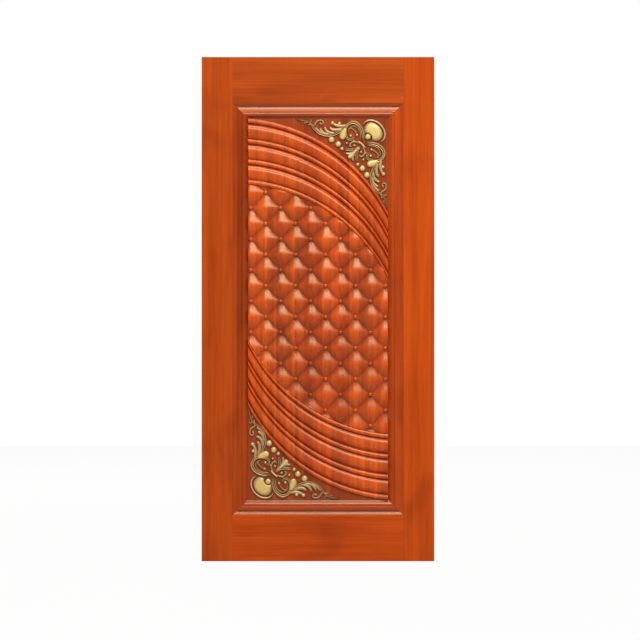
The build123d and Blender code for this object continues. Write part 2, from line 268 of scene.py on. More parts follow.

# %% [markdown]
# Two things are found on the carved pieces only. The panel is glued up from staves, and each
# stave takes the stain a little differently, so every stave gets its own number, which moves
# its grain and sets its tone. And the hollows of the carving get painted shade: depth below
# the front tells where they are, so the painted shade follows it, and leaves the back alone.

# %% Staves and painted shade
stave_tones = ((0.0, (0.80, 0.66, 0.72)), (0.5, plain), (1.0, (1.08, 1.28, 1.0)))
stave_shift = 7.0
# Painted shade: tones that darken the hollows of a carving, darkest where they lie deepest.
painted_shade_tones = ((0.0, (0.47, 0.39, 0.33)), (0.45, (0.80, 0.74, 0.70)), (1.0, plain))


def stave_number(tree, run, width):
    """A number from 0 to 1 that is the same all over one stave."""
    split = link_nodes(tree, "ShaderNodeSeparateXYZ", inputs={"Vector": run})
    index = calculate(tree, "FLOOR", calculate(tree, "DIVIDE", split.outputs["X"], width))
    noise = link_nodes(tree, "ShaderNodeTexWhiteNoise", {"noise_dimensions": "1D"}, {"W": index})
    return noise.outputs["Value"]


def moved_by_stave(tree, run, number):
    """The place in the grain, moved along and into the tree by the stave's number."""
    shift = calculate(tree, "MULTIPLY", number, stave_shift)
    move = link_nodes(tree, "ShaderNodeCombineXYZ", inputs={"Y": shift, "Z": shift})
    return link_nodes(tree, "ShaderNodeVectorMath", {"operation": "ADD"},
                      {0: run, 1: move.outputs[0]}).outputs[0]


def out_of_painted_shade(tree, place, full, gone):
    """0 at the depth where the painted shade is full, 1 where it is gone and on the back."""
    depth = link_nodes(tree, "ShaderNodeSeparateXYZ", inputs={"Vector": place}).outputs["Y"]
    level = link_nodes(tree, "ShaderNodeMapRange",
                       inputs={"Value": depth, "From Min": -full, "From Max": -gone})
    behind = calculate(tree, "GREATER_THAN", depth, 0.0)
    return calculate(tree, "MAXIMUM", level.outputs[0], behind)


# %% [markdown]
# What differs between the pieces is the run of the grain and the depth of the stain: the
# stiles and the panel have upright grain, the rails and the level mouldings have it lying
# down. So one function builds the timber, and it is called once for each kind of piece. The
# varnish is warm: its reflections lose their blue, which keeps the red deep under a white room.

# %% Stained timber
stain_places = (0.30, 0.50, 0.72)
plain_streaks, stave_streaks = 0.38, 0.6
fibre_share, blotch_share, stave_share = 0.4, 0.75, 0.9
seed_direction = (1, 0.37, 0.61)
varnish_tint = (1, 0.93, 0.62, 1)
varnish_roughness = (0.21, 0.27)
pore_strength = 0.06
pore_depth = 0.4 * MM


def stained_timber(name, dark, middle, light, grain="upright", stave=None, seed=0.0,
                   hollow=None, gloss=0.14):
    """Varnished timber. grain is upright or level, and seed moves it.

    stave is the width of glued staves. hollow gives the two depths of the painted shade in the
    hollows."""
    material = bpy.data.materials.new(name)
    material.use_nodes = True
    tree = material.node_tree
    shader = tree.nodes["Principled BSDF"]
    place = link_nodes(tree, "ShaderNodeTexCoord").outputs["Object"]
    turn = (0, 0, 0) if grain == "upright" else (0, math.radians(90), 0)
    start = tuple(seed * share for share in seed_direction)
    run = link_nodes(tree, "ShaderNodeMapping",
                     inputs={"Vector": place, "Rotation": turn, "Location": start}).outputs[0]
    number = stave_number(tree, run, stave) if stave else None
    grown = moved_by_stave(tree, run, number) if stave else run
    streak = grain_marks(tree, grown, *streaks)
    fibre = grain_marks(tree, grown, *fibres)
    stains = list(zip(stain_places, (dark, middle, light)))
    base = colour_ramp(tree, grain_marks(tree, grown, *figure), stains)
    base = toned(tree, base, streak, streak_tones, stave_streaks if stave else plain_streaks)
    base = toned(tree, base, fibre, fibre_tones, fibre_share)
    base = toned(tree, base, grain_marks(tree, run, *blotches), blotch_tones, blotch_share)
    if stave:
        base = toned(tree, base, number, stave_tones, stave_share)
    # Painted shade: the hollows are made darker the deeper they lie below the front.
    if hollow:
        base = toned(tree, base, out_of_painted_shade(tree, place, *hollow), painted_shade_tones, 1.0)
    tree.links.new(base, shader.inputs["Base Color"])
    rough = link_nodes(tree, "ShaderNodeMapRange",
                       inputs={"Value": streak, "From Min": 0.3, "From Max": 0.7,
                               "To Min": varnish_roughness[0], "To Max": varnish_roughness[1]})
    tree.links.new(rough.outputs[0], shader.inputs["Roughness"])
    bump = link_nodes(tree, "ShaderNodeBump",
                      inputs={"Height": fibre, "Strength": pore_strength, "Distance": pore_depth})
    tree.links.new(bump.outputs[0], shader.inputs["Normal"])
    shader.inputs["IOR"].default_value = 1.5
    shader.inputs["Specular IOR Level"].default_value = gloss
    shader.inputs["Specular Tint"].default_value = varnish_tint
    return material


# %% The timbers of this leaf
left_stile_wood = stained_timber("left_stile_wood", (0.38, 0.052, 0.004), (0.46, 0.063, 0.005),
                                 (0.52, 0.074, 0.006), seed=1.3)
right_stile_wood = stained_timber("right_stile_wood", (0.41, 0.052, 0.003), (0.51, 0.065, 0.004),
                                  (0.60, 0.084, 0.005), seed=3.6)
top_rail_wood = stained_timber("top_rail_wood", (0.36, 0.050, 0.005), (0.42, 0.061, 0.006),
                               (0.51, 0.077, 0.008), grain="level", seed=4.1)
bottom_rail_wood = stained_timber("bottom_rail_wood", (0.45, 0.055, 0.004),
                                  (0.53, 0.067, 0.005), (0.63, 0.085, 0.006),
                                  grain="level", seed=11.8)
# The mouldings and the panel take painted shade in their hollows, between the two depths given.
level_moulding_wood = stained_timber("level_moulding_wood", (0.38, 0.045, 0.004),
                                     (0.47, 0.060, 0.006), (0.55, 0.075, 0.008),
                                     grain="level", seed=7.7, hollow=(14.2 * MM, 18 * MM),
                                     gloss=0.4)
left_moulding_wood = stained_timber("left_moulding_wood", (0.29, 0.034, 0.002),
                                    (0.36, 0.045, 0.003), (0.42, 0.056, 0.004),
                                    seed=6.4, hollow=(9 * MM, 15 * MM), gloss=0.2)
side_moulding_wood = stained_timber("side_moulding_wood", (0.38, 0.045, 0.003),
                                    (0.47, 0.060, 0.004), (0.55, 0.075, 0.005),
                                    seed=9.2, hollow=(9 * MM, 15 * MM), gloss=0.22)
panel_wood = stained_timber("panel_wood", (0.36, 0.043, 0.003), (0.54, 0.064, 0.004),
                            (0.70, 0.090, 0.006), stave=36 * MM, seed=2.9,
                            hollow=(8.6 * MM, 20 * MM), gloss=0.33)
wedge_wood = stained_timber("wedge_wood", (0.18, 0.03, 0.004), (0.26, 0.045, 0.006),
                            (0.34, 0.065, 0.008), grain="level", seed=5.5)
print("timbers", [m.name for m in bpy.data.materials if m.name.endswith("_wood")])

# %% [markdown]
# The stiles, rails, wedges and back mouldings have their true shape already. They stay as
# they were built, and only take their finish.


# %% Finish the pieces that stay
def dress(node, material):
    """Give one built piece its finish."""
    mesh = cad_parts[node].data
    mesh.materials.clear()
    mesh.materials.append(material)


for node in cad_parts:
    if node.endswith("stile"):
        dress(node, left_stile_wood if node.startswith("left") else right_stile_wood)
    elif node.endswith("rail"):
        dress(node, top_rail_wood if node.startswith("top") else bottom_rail_wood)
    elif node.endswith("wedge"):
        dress(node, wedge_wood)
    elif node.startswith("back_"):
        level = node.split("_")[1] in ("top", "bottom")
        dress(node, level_moulding_wood if level else side_moulding_wood)
print("wedges", len([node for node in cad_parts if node.endswith("wedge")]))

# %% [markdown]
# Carving starts from a flat board. Here each carved surface starts from a plain grid, and its
# points are moved to where the gouge would leave the wood: across and up by the plan, and out
# by the depth. The rim is then drawn back into the board and closed, so each is a solid.


# %% Helpers for points and copies
def read_points(mesh):
    """The places of a mesh's points, one row each."""
    points = np.zeros(len(mesh.vertices) * 3)
    mesh.vertices.foreach_get("co", points)
    return points.reshape(-1, 3)


def write_points(mesh, points):
    """Move a mesh's points."""
    mesh.vertices.foreach_set("co", points.ravel())
    mesh.update()


def copy_piece(piece, move=None):
    """A copy with its own mesh, moved if a matrix is given."""
    twin = piece.copy()
    twin.data = piece.data.copy()
    scene.collection.objects.link(twin)
    if move:
        twin.data.transform(move)
    return twin


def join_pieces(name, parts):
    """Join several meshes into one piece."""
    bpy.ops.object.select_all(action="DESELECT")
    for part in parts:
        part.select_set(True)
    bpy.context.view_layer.objects.active = parts[0]
    bpy.ops.object.join()
    joined = bpy.context.object
    joined.name = name
    joined.data.name = name
    return joined


# %% Helpers for carved surfaces
def start_grid(name, columns, rows, place):
    """A grid whose points go where place(u, v) puts them. u and v run from 0 to 1."""
    bpy.ops.object.select_all(action="DESELECT")
    bpy.ops.mesh.primitive_grid_add(x_subdivisions=columns, y_subdivisions=rows, size=1)
    piece = bpy.context.object
    piece.name = name
    points = read_points(piece.data)
    write_points(piece.data, np.stack(place(points[:, 0] + 0.5, points[:, 1] + 0.5), axis=1))
    return piece


def pick(piece):
    """Select one piece alone and make it the active one."""
    bpy.ops.object.select_all(action="DESELECT")
    piece.select_set(True)
    bpy.context.view_layer.objects.active = piece


def edit(piece, action="DESELECT"):
    """Open one piece alone for editing, with none or all of its points selected."""
    pick(piece)
    bpy.ops.object.mode_set(mode="EDIT")
    bpy.ops.mesh.select_mode(type="VERT")
    bpy.ops.mesh.select_all(action=action)


def close_back(piece, depth):
    """Draw the rim straight back to a depth and close it there."""
    edit(piece)
    bpy.ops.mesh.select_non_manifold(extend=False, use_wire=False, use_multi_face=False,
                                     use_non_contiguous=False, use_verts=False)
    bpy.ops.mesh.extrude_edges_move()
    bpy.ops.object.mode_set(mode="OBJECT")
    for vertex in piece.data.vertices:
        if vertex.select:
            vertex.co.y = depth
    bpy.ops.object.mode_set(mode="EDIT")
    bpy.ops.mesh.select_all(action="SELECT")
    bpy.ops.mesh.fill_holes(sides=0)
    bpy.ops.mesh.normals_make_consistent(inside=False)
    bpy.ops.object.mode_set(mode="OBJECT")


def smooth(piece, degrees_limit):
    """Round shading, with edges sharper than the limit kept crisp."""
    pick(piece)
    bpy.ops.object.shade_smooth_by_angle(angle=math.radians(degrees_limit))


# %% [markdown]
# The bands in the two corners are one profile of beads and wide rounds. Each round leans: it
# swells right under its bead and falls away to the next. The carver moved the same arc
# straight down for each of them, so they close up towards the steep end. The grid follows
# that: its columns are places along the arc and its rows are places on the profile. The
# profile is given by its slopes, because the slope is what shades a round.

# %% Arc and profile of the bands
carving_gap = 0.3 * MM
carving_half = sight_half - carving_gap
carving_top = sight_top - carving_gap
carving_half_height = carving_top - middle_z
band_radius = 677.965 * MM
band_centre_x = -330 * MM
first_bead_z = 1733.5 * MM
band_pitch = 80.3 * MM
band_gap = 0.5 * MM
bead_width = 19.6 * MM
bead_count = 4
groove_level = 2.4 * MM
band_start_level = 1.2 * MM
bead_rows, wide_rows = 19, 27
bead_slopes = ((0, 6), (0.12, 0.42), (0.42, 0.22), (0.58, -0.22), (0.88, -0.42), (1, -6))
band_slopes = ((0, 0.80), (0.08, 0.72), (0.25, 0.28), (0.45, 0.0), (0.75, -0.24), (1, -0.60))


def arc_height(x, drop):
    """Height of the band arc at x, moved down by drop."""
    rise = np.sqrt(band_radius**2 - (x - band_centre_x) ** 2)
    return first_bead_z - band_radius + rise - drop


def run_slopes(slopes, shares, start, width):
    """Levels over a width, from a start level and the slopes at some shares of the width."""
    steep = np.interp(shares, *zip(*slopes))
    rises = np.cumsum((steep[1:] + steep[:-1]) / 2 * np.diff(shares)) * width
    return start + np.append(0, rises)


def band_profile():
    """Drop below the first bead, and level, for every row of the bands."""
    drops, levels = [], []
    for i in range(bead_count):
        near = i * band_pitch - bead_width / 2
        shares = np.linspace(0, 1, bead_rows)
        drops.extend(near + shares * bead_width)
        levels.extend(run_slopes(bead_slopes, shares, groove_level, bead_width))
        if i < bead_count - 1:
            wide = band_pitch - bead_width
            shares = np.linspace(0, 1, wide_rows)
            drops.extend(near + bead_width + band_gap + shares * (wide - 2 * band_gap))
            levels.extend(run_slopes(band_slopes, shares, band_start_level, wide))
    return np.array(drops), np.array(levels)


print("profile", len(band_profile()[0]), "rows")

# %% Curved bands
band_columns = 120
bed_depth = -seat + 1 * MM


def make_bands(name, side):
    """One set of bands. side is 1 for the upper set and -1 for it turned half a turn."""
    drops, levels = band_profile()
    last_row = len(drops) - 1

    def place(u, v):
        x = (2 * u - 1) * carving_half
        row = np.rint((1 - v) * last_row).astype(int)
        z = np.minimum(arc_height(x, drops[row]), carving_top)
        return side * x, -seat - levels[row], middle_z + side * (z - middle_z)

    bands = start_grid(name, band_columns, last_row, place)
    close_back(bands, bed_depth)
    return bands


upper_bands = make_bands("upper_bands", 1)
lower_bands = make_bands("lower_bands", -1)
print("bands", len(upper_bands.data.polygons), "faces each")

# %% [markdown]
# Between the bands lies the quilted field, carved to look like buttoned upholstery. Buttons
# sit on a diagonal lattice. Between four buttons a pillow swells, with soft ridges running
# level and upright to the buttons, and creases run diagonally from button to button. One
# pillow is shaped on a grid turned to the creases, and is copied to every cell. What passes
# the bands or the mouldings is cut away.

# %% One pillow
half_pitch_x = 58.8 * MM
half_pitch_z = 61.2 * MM
crease_level = 1.6 * MM
pillow_level = 13.6 * MM
crease_sag = 3 * MM
pillow_cells = 20
pillow_edge = 0.999
dome_fullness = 1.2
level_ridge_round = 0.003
upright_ridge_round = 0.022
tent_height = 1.09
tent_middle = 0.95


def pillow_share(p, q):
    """Height share of the pillow: half a dome, and half a tent with rounded ridges."""
    dome = ((1 - p**2) * (1 - q**2)) ** dome_fullness
    beside = np.sqrt(((p + q) / 2) ** 2 + upright_ridge_round)
    above = np.sqrt(((p - q) / 2) ** 2 + level_ridge_round)
    tent = np.clip(tent_height - beside - above, 0, 1) * (tent_middle + beside)
    return 0.5 * dome + 0.5 * tent


def pillow_place(u, v):
    """The pillow round the origin: u and v run along the two diagonals."""
    p, q = 2 * u - 1, 2 * v - 1
    at_edge = np.maximum(np.abs(p), np.abs(q)) > pillow_edge
    share = np.where(at_edge, 0, pillow_share(p, q))
    level = crease_level + (pillow_level - crease_level) * share
    x = half_pitch_x * (p + q) / 2
    z = half_pitch_z * (q - p) / 2
    bow_p, bow_q = np.cos(np.pi * p / 2), np.cos(np.pi * q / 2)
    z = z - crease_sag * (bow_p + bow_q - bow_p * bow_q)
    return x, -seat - level, z


pillow = start_grid("pillow", pillow_cells, pillow_cells, pillow_place)
print("pillow", len(pillow.data.polygons), "faces")

# %% Quilted field
field_drop = (bead_count - 1) * band_pitch + bead_width / 2
weld_distance = 0.05 * MM


def lattice(odd):
    """Cells of the diagonal lattice, as x and height over the middle: pillows or buttons."""
    reach_x = int(carving_half / half_pitch_x) + 2
    reach_z = int(carving_half_height / half_pitch_z) + 2
    for i in range(-reach_x, reach_x + 1):
        for j in range(-reach_z, reach_z + 1):
            if (i + j) % 2 == odd:
                yield (i + 0.5) * half_pitch_x, (j + 0.5) * half_pitch_z


def pillow_centres():
    """Centres of the pillows that touch the field."""
    for x, rise in lattice(odd=0):
        near_x = np.clip(x, -carving_half, carving_half)
        above = arc_height(near_x - half_pitch_x, field_drop) - middle_z
        below = arc_height(-near_x - half_pitch_x, field_drop) - middle_z
        beside = abs(x - near_x) < half_pitch_x
        if beside and rise - half_pitch_z < above and -rise - half_pitch_z < below:
            yield x, middle_z + rise


def clamp_to_field(points):
    """Cut the field along the bands and the mouldings; return what lies outside."""
    x, z = points[:, 0].copy(), points[:, 2].copy()
    inner_x = np.clip(x, -carving_half, carving_half)
    upper = arc_height(inner_x, field_drop)
    lower = 2 * middle_z - arc_height(-inner_x, field_drop)
    points[:, 0] = inner_x
    points[:, 2] = np.clip(z, lower, upper)
    return (np.abs(x) > carving_half) | (z > upper) | (z < lower)


def make_quilting():
    """A pillow in every cell, welded, cut to the field and closed at the back."""
    tiles = [copy_piece(pillow, Matrix.Translation((x, 0, z))) for x, z in pillow_centres()]
    bpy.data.objects.remove(pillow)
    field = join_pieces("quilted_field", tiles)
    edit(field, "SELECT")
    bpy.ops.mesh.remove_doubles(threshold=weld_distance)
    bpy.ops.mesh.select_all(action="DESELECT")
    bpy.ops.mesh.select_mode(type="FACE")
    bpy.ops.object.mode_set(mode="OBJECT")
    points = read_points(field.data)
    outside = clamp_to_field(points)
    lost = [all(outside[v] for v in face.vertices) for face in field.data.polygons]
    field.data.polygons.foreach_set("select", lost)
    write_points(field.data, points)
    bpy.ops.object.mode_set(mode="EDIT")
    bpy.ops.mesh.delete(type="FACE")
    bpy.ops.mesh.select_all(action="SELECT")
    bpy.ops.mesh.remove_doubles(threshold=weld_distance)
    bpy.ops.object.mode_set(mode="OBJECT")
    close_back(field, bed_depth)
    return field


quilted_field = make_quilting()
print("quilting", len(quilted_field.data.polygons), "faces")

# %% [markdown]
# The buttons are low round caps of the same wood, left standing where four creases meet. One
# is shaped and copied to each place. A button that would touch a band or a moulding is left
# out, as the carver left it out.

# %% Buttons
button_radius = 8.4 * MM
button_level = 5.2 * MM
button_rise = 4.5 * MM
side_margin = 8 * MM
band_margin = 12 * MM


def button_places():
    """Where the lattice has a button inside the field."""
    for x, rise in lattice(odd=1):
        if abs(x) + side_margin <= carving_half:
            above = arc_height(x, field_drop) - middle_z - rise
            below = arc_height(-x, field_drop) - middle_z + rise
            if min(above, below) > band_margin:
                yield x, middle_z + rise


def make_buttons():
    """One flattened ball, copied to every place."""
    bpy.ops.object.select_all(action="DESELECT")
    bpy.ops.mesh.primitive_uv_sphere_add(
        segments=20, ring_count=12, radius=1, rotation=(math.radians(90), 0, 0),
        scale=(button_radius, button_radius, button_rise),
    )
    bpy.ops.object.transform_apply(location=True, rotation=True, scale=True)
    ball = bpy.context.object
    depth = -seat - button_level
    balls = [copy_piece(ball, Matrix.Translation((x, depth, z))) for x, z in button_places()]
    bpy.data.objects.remove(ball)
    return join_pieces("buttons", balls)


buttons = make_buttons()
print("buttons", len(list(button_places())))

# %% [markdown]
# Under the carving is the board itself: a plain back, a tongue all round that sits in the
# frame's grooves, and the sunk ground of the two corners, raised a little from the tongue. A
# block gets an inset on its front, which is drawn out to the ground and trimmed to the sight.

# %% Board
ground_level = 2 * MM
tongue_inset = 10 * MM
touch = 0.1 * MM


def make_board():
    """A block with its front drawn out to the ground, inside the tongue."""
    bpy.ops.object.select_all(action="DESELECT")
    centre = (panel_low + panel_high) / 2
    bpy.ops.mesh.primitive_cube_add(size=1, location=(centre.x, 0, centre.z))
    board = bpy.context.object
    board.name = "board"
    board.scale = (panel_high.x - panel_low.x, 2 * seat, panel_high.z - panel_low.z)
    bpy.ops.object.transform_apply(location=True, rotation=True, scale=True)
    edit(board)
    bpy.ops.mesh.select_mode(type="FACE")
    bpy.ops.object.mode_set(mode="OBJECT")
    for face in board.data.polygons:
        face.select = face.normal.y < -0.9
    bpy.ops.object.mode_set(mode="EDIT")
    bpy.ops.mesh.inset(thickness=tongue_inset)
    bpy.ops.mesh.extrude_region_move(
        TRANSFORM_OT_translate={"value": (0, -ground_level, 0)}
    )
    bpy.ops.object.mode_set(mode="OBJECT")
    for vertex in board.data.vertices:
        inner = abs(vertex.co.x) < panel_high.x - tongue_inset / 2
        if inner and vertex.co.y < -seat + touch:
            vertex.co.x = math.copysign(carving_half, vertex.co.x)
            vertex.co.z = middle_z + math.copysign(carving_half_height, vertex.co.z - middle_z)
    return board


board = make_board()
print("board", tuple(round(size, 4) for size in board.dimensions))

# %% [markdown]
# The board, the bands, the quilting and the buttons are one carved piece of wood. They are
# joined, take one finish, and stand in for the plain panel of the frame.

# %% Carved board
carved_panel = join_pieces(
    "carved_board", [board, upper_bands, lower_bands, quilted_field, buttons]
)
carved_panel.data.materials.clear()
carved_panel.data.materials.append(panel_wood)
smooth(carved_panel, degrees_limit=38)
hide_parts("carved_panel")
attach(carved_panel, "root")
print("carved board", len(carved_panel.data.polygons), "faces")

# %% [markdown]
# The front moulding is run from one profile and cut to a mitre at each corner. Next to the
# frame it falls in a hollow, rises in a full round, and after a fine quirk and a bead it falls
# again to the panel. A grid bent to the profile gives each length, and its ends run at
# forty-five degrees because each row is as long as its place in the profile allows.

# %% Moulding profile
profile_clearance = 0.6 * MM


def arc_points(start, end, bulge, count):
    """Points from start to end on a curve that bulges out by bulge."""
    steps = np.linspace(0, 1, count)
    across = start[0] + (end[0] - start[0]) * steps
    up = start[1] + (end[1] - start[1]) * steps + bulge * np.sin(np.pi * steps)
    return list(zip(across, up))


def moulding_outline():
    """The closed profile: distance from the frame's edge, and height over the panel.

    The rows below are in millimetres, from the frame inwards."""
    top = (front_face - seat - profile_clearance) / MM
    outline = [(0.1, 0.2), (0.1, top)]
    outline += arc_points((0.8, top), (15, 5.4), -1.4, 10)
    outline += arc_points((17, 5.6), (34, 12.0), 0.5, 10)
    outline += [(35, 11.8), (36.4, 10.4), (37.2, 9.8)]
    outline += arc_points((38, 10.4), (49, 9.4), 2.4, 10)
    outline += arc_points((50, 8.8), (60, 2.4), -1.0, 8)
    outline += [(60.9, 2.4), (60.9, 0.2), (0.1, 0.2)]
    return np.array(outline) * MM


print("moulding profile", len(moulding_outline()), "points")

# %% Front mouldings
moulding_columns = 12
moulding_weld = 0.01 * MM


def make_moulding(name, inward, reach, run):
    """One length. inward points to the panel, reach and run are half the opening."""
    outline = moulding_outline()
    last = len(outline) - 1
    along = (inward[1], -inward[0])

    def place(u, v):
        row = np.rint(v * last).astype(int)
        across, up = outline[row, 0], outline[row, 1]
        travel = (2 * u - 1) * (run - across)
        plan_x = inward[0] * (across - reach) + along[0] * travel
        plan_z = inward[1] * (across - reach) + along[1] * travel
        return plan_x, -seat - up, middle_z + plan_z

    length = start_grid(name, moulding_columns, last, place)
    edit(length, "SELECT")
    bpy.ops.mesh.remove_doubles(threshold=moulding_weld)
    bpy.ops.mesh.fill_holes(sides=0)
    bpy.ops.mesh.normals_make_consistent(inside=False)
    bpy.ops.object.mode_set(mode="OBJECT")
    return length


moulding_woods = {"top": level_moulding_wood, "bottom": level_moulding_wood,
                  "left": left_moulding_wood, "right": side_moulding_wood}
for edge, inward in (("top", (0, -1)), ("bottom", (0, 1)), ("left", (1, 0)), ("right", (-1, 0))):
    level = edge in ("top", "bottom")
    reach = opening_half_height if level else opening_half
    run = opening_half if level else opening_half_height
    length = make_moulding(f"{edge}_moulding_run", inward, reach, run)
    length.data.materials.append(moulding_woods[edge])
    smooth(length, degrees_limit=32)
    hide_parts(f"front_{edge}_moulding")
    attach(length, "root")
    print(length.name, len(length.data.polygons), "faces")

# %% [markdown]
# The scrollwork is carved on its own and gilded, then set on the sunk ground. A carver cuts
# each stem as a rounded strip that follows a drawn line, with a vein down its middle where it
# is a leaf. Here a grid is laid along each line in the same way. Lines and places are drawn in
# millimetres from the corner of the sight, the first number leftwards, the second down.

# %% Strips that follow a line
ornament_floor = seat + ground_level
strip_fullness = 1.45
strip_edge = 1.2
vein_floor = 0.3
tip_power = 10
tip_least = 0.2


def curve_through(points, steps):
    """A smooth curve through points, with some steps between each two."""
    knots = np.array([points[0], *points, points[-1]], dtype=float)
    curve = []
    for a, b, c, d in zip(knots, knots[1:], knots[2:], knots[3:]):
        for t in np.arange(steps) / steps:
            bend = 2 * b + (c - a) * t + (2 * a - 5 * b + 4 * c - d) * t**2
            curve.append(0.5 * (bend + (3 * b - a - 3 * c + d) * t**3))
    return np.array(curve + [knots[-1]])


def carve_strip(points, widths, top, veins=0, steps=5, rows=12):
    """A rounded strip along a line. widths are spread evenly from its start to its end."""
    line = curve_through(points, steps) * MM
    last = len(line) - 1
    along = np.gradient(line, axis=0)
    along /= np.linalg.norm(along, axis=1)[:, None]
    across = np.stack([-along[:, 1], along[:, 0]], axis=1)
    share = np.linspace(0, 1, last + 1)
    width = np.interp(share, np.linspace(0, 1, len(widths)), widths) * strip_fullness * MM
    tip = np.clip(np.sqrt(1 - np.abs(2 * share - 1) ** tip_power), tip_least, 1)

    def place(u, v):
        i = np.rint(u * last).astype(int)
        side = 2 * v - 1
        spot = line[i] + across[i] * (side * tip[i] * width[i] / 2)[:, None]
        crest = np.sqrt(np.clip(1 - side**2, 0, 1))
        if veins:
            ripple = np.abs(np.sin(np.pi * (veins + 1) * v))
            crest = crest * (vein_floor + (1 - vein_floor) * ripple)
        level = (strip_edge + (top - strip_edge) * crest * tip[i]) * MM
        return sight_half - spot[:, 0], -ornament_floor - level, sight_top - spot[:, 1]

    return start_grid("strip", last, rows, place)


# %% [markdown]
# Berries, and the fan in the corner, are round forms pressed into the ground. A ball is
# flattened to its height. A berry keeps a ball's fall towards its edge, and the fan is much
# squarer at its shoulders, with a notch where its own berry sits.

# %% Berries
berry_rise = 0.8
notch_slope = 3 * MM
notch_depth = 0.98


def from_corner(left, down):
    """x and z of a point that is drawn from the corner of the sight."""
    return sight_half - left * MM, sight_top - down * MM


def set_berry(place, radius, top, fullness=2.0, notch=None):
    """A berry sunk a little in the ground. Above 2, fullness squares its shoulders.

    notch is a round cut out of its face: left, down and its radius."""
    rise = min(radius, berry_rise * top) * MM
    centre_x, centre_z = from_corner(*place)
    centre_y = -ornament_floor - top * MM + rise
    segments, rings = (48, 32) if notch else (24, 14)
    bpy.ops.object.select_all(action="DESELECT")
    bpy.ops.mesh.primitive_uv_sphere_add(
        segments=segments, ring_count=rings, radius=1, rotation=(math.radians(90), 0, 0),
        location=(centre_x, centre_y, centre_z), scale=(radius * MM, radius * MM, rise),
    )
    bpy.ops.object.transform_apply(location=True, rotation=True, scale=True)
    berry = bpy.context.object
    for vertex in berry.data.vertices:
        away = math.hypot(vertex.co.x - centre_x, vertex.co.z - centre_z)
        share = min(1.0, away / (radius * MM))
        side = math.copysign(1, vertex.co.y - centre_y)
        vertex.co.y = centre_y + side * rise * math.sqrt(1 - share**fullness)
        if notch and side < 0:
            notch_x, notch_z = from_corner(*notch[:2])
            beyond = math.hypot(vertex.co.x - notch_x, vertex.co.z - notch_z) - notch[2] * MM
            pressed = 1 - min(1, max(0, beyond / notch_slope))
            vertex.co.y += (centre_y - vertex.co.y) * pressed * notch_depth
    return berry


# %% [markdown]
# Only one arm of the scrollwork is drawn, as a list of lines with their widths, their height
# and their veins, and a list of berries with their place, radius and height. The other arm is
# its mirror in the corner's diagonal.

# %% One arm of the scrollwork
arm_strips = [
    # main stem, out to the tip
    (((132, 16), (159, 24), (180, 42), (200, 58), (226, 66), (251, 65), (274, 55), (290, 40),
      (299, 26), (315, 14), (338, 7), (360, 4)), (7, 10, 11, 9, 6, 4), 8.6, 1),
    # strand outside the scroll beside the fan
    (((96, 84), (93, 62), (101, 38), (116, 18), (136, 9), (152, 12)), (3, 4, 4, 3), 6, 0),
    # scroll beside the fan, and its inner strand
    (((101, 92), (98, 67), (106, 39), (121, 22), (139, 16), (157, 23), (167, 41), (167, 62),
      (159, 78), (147, 83), (138, 75), (144, 67)), (9, 11, 11, 10, 9, 7), 9, 1),
    (((107, 85), (108, 59), (118, 39), (136, 30), (153, 40), (157, 56)), (4, 4, 3), 6.5, 0),
    (((154, 44), (144, 38), (135, 45), (127, 54), (121, 65)), (5, 5, 5), 6, 0),
    # lobes of the leaf above the stem
    (((163, 27), (185, 30), (203, 27), (216, 21)), (10, 12, 8), 7.5, 0),
    (((176, 40), (198, 45), (218, 44), (230, 35)), (10, 12, 8), 7.2, 0),
    (((208, 59), (231, 55), (245, 44), (249, 31)), (9, 11, 7), 7, 0),
    (((228, 64), (251, 58), (264, 46), (267, 37)), (9, 10, 7), 7, 0),
    (((249, 64), (269, 53), (281, 40), (282, 33)), (8, 9, 6), 6.8, 0),
    # volute and the small leaves of the tip
    (((296, 32), (288, 24), (282, 14), (272, 8), (259, 8), (254, 16), (260, 23), (268, 21)),
     (6, 6, 5, 5), 7, 0),
    (((296, 31), (306, 24), (317, 26)), (6, 7, 4), 6, 0),
    (((308, 18), (301, 9), (306, 4.5)), (5, 5, 4), 6, 0),
    (((319, 12), (326, 18), (334, 15)), (4, 5, 3), 6, 0),
    # curl beside the tie
    (((110, 100), (122, 93), (137, 92), (148, 99), (149, 109), (141, 113)), (4, 6, 6, 4), 7, 0),
    # petals under the tie
    (((106, 108), (132, 122), (154, 124), (171, 121)), (7, 11, 8), 7.5, 1),
    (((109, 113), (132, 132), (153, 139), (168, 136)), (7, 10, 7), 7.5, 0),
]
arm_berries = [
    ((222, 83), 14.0, 9.0), ((196, 101), 13.6, 9.0), ((181, 119), 8.8, 8.5), ((218, 18), 9.5, 8.5),
    ((191, 20), 8.6, 8.5), ((122, 65), 6.4, 8.0), ((147, 68), 7.0, 8.5), ((162, 97), 6.2, 8.0),
    ((132, 106), 6.2, 8.0), ((266, 19), 5.0, 7.5), ((136, 88), 5.0, 7.0),
]

bud_line = ((166, 38), (172, 50), (177, 64), (181, 84))
bud_widths = (7, 16, 22, 24, 14)


def make_arm():
    """All strips, the long bud between them and the berries of one arm."""
    strips = [carve_strip(*strip) for strip in arm_strips]
    bud = carve_strip(bud_line, bud_widths, 9, rows=14)
    arm = join_pieces("arm", strips + [bud])
    close_back(arm, -ornament_floor)
    berries = [set_berry(*berry) for berry in arm_berries]
    return join_pieces("arm", [arm] + berries)


def mirror_in_diagonal(piece):
    """The same piece on the other side of the corner's diagonal."""
    other = copy_piece(piece)
    points = read_points(other.data)
    left, down = sight_half - points[:, 0], sight_top - points[:, 2]
    points[:, 0], points[:, 2] = sight_half - down, sight_top - left
    write_points(other.data, points)
    edit(other, "SELECT")
    bpy.ops.mesh.normals_make_consistent(inside=False)
    bpy.ops.object.mode_set(mode="OBJECT")
    return other


arm = make_arm()
arms = [arm, mirror_in_diagonal(arm)]
print("arms", len(arm.data.polygons), "faces each")

